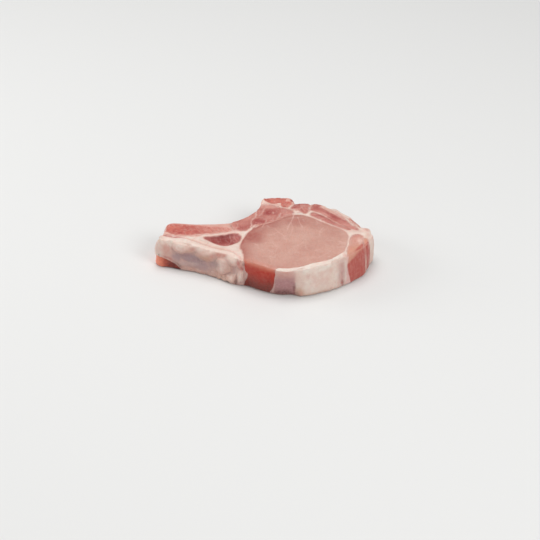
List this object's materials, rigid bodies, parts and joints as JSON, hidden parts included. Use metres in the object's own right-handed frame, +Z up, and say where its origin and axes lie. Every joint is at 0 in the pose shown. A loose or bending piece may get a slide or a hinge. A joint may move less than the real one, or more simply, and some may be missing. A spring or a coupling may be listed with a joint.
{
  "type": "raw pork chop",
  "caption": "Thick bone-in rib chop of raw pork, lying flat: pale loin muscle ringed by fat and darker muscle, with rib and feather bone.",
  "frame": {"origin": "centre of the bounding box, at the height of the face the chop lies on", "axes": "+X along the rib, from its sawn end towards the belly end of the slice; +Y towards the backbone side, where the feather bone is; +Z up, out of the upper cut face"},
  "size_m": [0.1644, 0.1032, 0.025],
  "materials": {
    "fat": "moist raw fat and membrane, cream to pink",
    "pale_lean": "moist raw loin muscle, pale pink",
    "lean": "moist raw muscle, rose red",
    "dark_lean": "moist raw muscle, dark red",
    "marrow": "sawn spongy bone, red marrow with a pale rim"
  },
  "bodies": {
    "root": {"fat": "fat", "loin_eye": "pale_lean", "rib_bone": "marrow", "feather_bone": "marrow", "rib_lean": "dark_lean", "rib_meat": "lean", "back_lean": "lean", "spinal_lean": "lean", "outer_cap": "lean", "inner_cap": "lean", "belly_lean": "lean", "flank_lean": "lean"}
  },
  "joints": []
}
